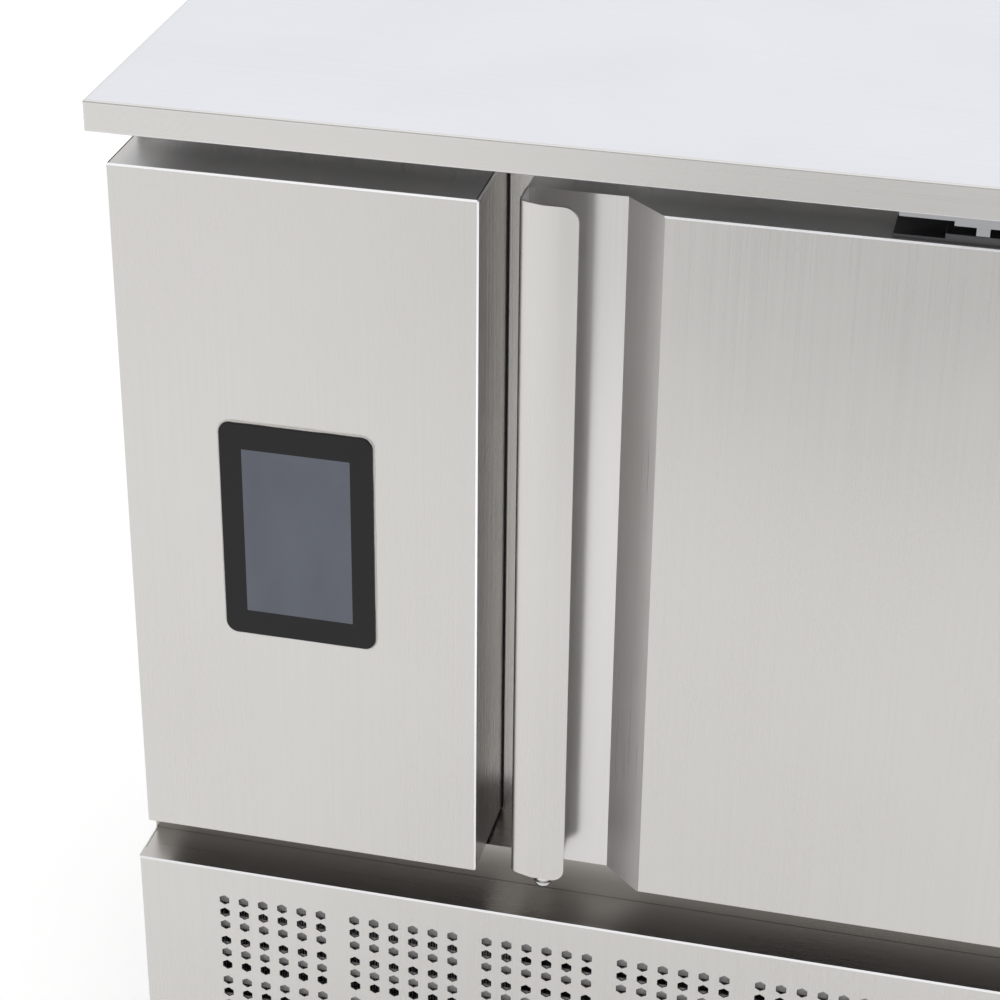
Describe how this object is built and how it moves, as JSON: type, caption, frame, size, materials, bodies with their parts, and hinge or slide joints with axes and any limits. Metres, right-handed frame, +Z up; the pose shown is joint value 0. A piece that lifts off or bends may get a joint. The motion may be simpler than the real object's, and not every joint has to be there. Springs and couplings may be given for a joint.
{
  "type": "blast chiller",
  "caption": "Stainless steel blast chiller with a worktop, a touch-screen control box beside an insulated door with a bent sheet handle, and a perforated grille over its base bay.",
  "frame": {"origin": "on the floor, at the centre of the plan", "axes": "+X to the right as the user faces the door, +Y towards the back, +Z up"},
  "size_m": [0.856, 0.815, 1.015],
  "materials": {
    "steel": "satin",
    "liner_steel": "fine matt",
    "galvanised": "zinc coated, dull",
    "foam": "matt foam",
    "core_board": "matt",
    "black_glass": "polished, opaque from behind",
    "black_plastic": "matt",
    "gasket_rubber": "matt",
    "fin_aluminium": "dull",
    "copper": "bright tube",
    "black_enamel": "satin",
    "circuit_board": "satin",
    "grey_plastic": "matt",
    "white_plastic": "satin"
  },
  "bodies": {
    "cabinet": {"worktop": "steel", "worktop_core": "core_board", "cabinet_casing": "steel", "insulation": "foam", "chamber_liner": "liner_steel", "door_frame": "steel", "front_sill": "steel", "control_box_cover": "steel", "touch_glass": "black_glass", "display_module": "black_plastic", "control_board": "circuit_board", "contactor_rail": "white_plastic", "front_grille": "steel", "bay_side_left": "steel", "bay_side_right": "steel", "base_tray": "galvanised", "rear_vent_panel": "galvanised", "foot_front_left": "steel", "foot_front_right": "steel", "foot_back_left": "steel", "foot_back_right": "steel", "upper_hinge_bracket": "steel", "lower_hinge_bracket": "steel", "fan_baffle": "liner_steel", "fan_bar": "galvanised", "evaporator_motor_lower": "galvanised", "evaporator_motor_upper": "galvanised", "fan_guard_lower": "steel", "fan_guard_upper": "steel", "tray_rack_left": "steel", "tray_rack_right": "steel", "air_sensor": "galvanised", "evaporator_coil": "fin_aluminium", "drip_tray": "liner_steel", "drain_pipe": "grey_plastic", "condenser_coil": "fin_aluminium", "condenser_shroud": "galvanised", "condenser_motor": "galvanised", "condenser_motor_stand": "galvanised", "compressor_base": "galvanised", "compressor": "black_enamel", "liquid_receiver": "black_enamel", "filter_drier": "copper", "liquid_line": "copper", "suction_line": "copper", "discharge_line": "copper", "condensate_line": "copper", "power_box": "grey_plastic", "mains_inlet_gland": "black_plastic"},
    "door": {"door_skin": "steel", "door_liner": "liner_steel", "door_foam": "foam", "door_gasket": "gasket_rubber", "door_handle": "steel", "handle_end_screw": "galvanised", "upper_hinge_leaf": "steel", "lower_hinge_leaf": "steel"},
    "upper_evaporator_rotor": {"evaporator_fan_upper": "black_plastic"},
    "lower_evaporator_rotor": {"evaporator_fan_lower": "black_plastic"},
    "condenser_rotor": {"condenser_fan": "black_plastic"}
  },
  "joints": [
    {"name": "door_hinge", "type": "hinge", "parent": "cabinet", "child": "door", "pos_m": [0.3945, -0.3765, 0.65], "axis": [0, 0, 1], "range_deg": [0, 120]},
    {"name": "upper_evaporator_fan_spin", "type": "hinge", "parent": "cabinet", "child": "upper_evaporator_rotor", "pos_m": [-0.084, 0.04775, 0.76725], "axis": [1, 0, 0], "continuous": true},
    {"name": "lower_evaporator_fan_spin", "type": "hinge", "parent": "cabinet", "child": "lower_evaporator_rotor", "pos_m": [-0.084, 0.04775, 0.51725], "axis": [1, 0, 0], "continuous": true},
    {"name": "condenser_fan_spin", "type": "hinge", "parent": "cabinet", "child": "condenser_rotor", "pos_m": [-0.245, -0.25, 0.189], "axis": [0, 1, 0], "continuous": true}
  ]
}
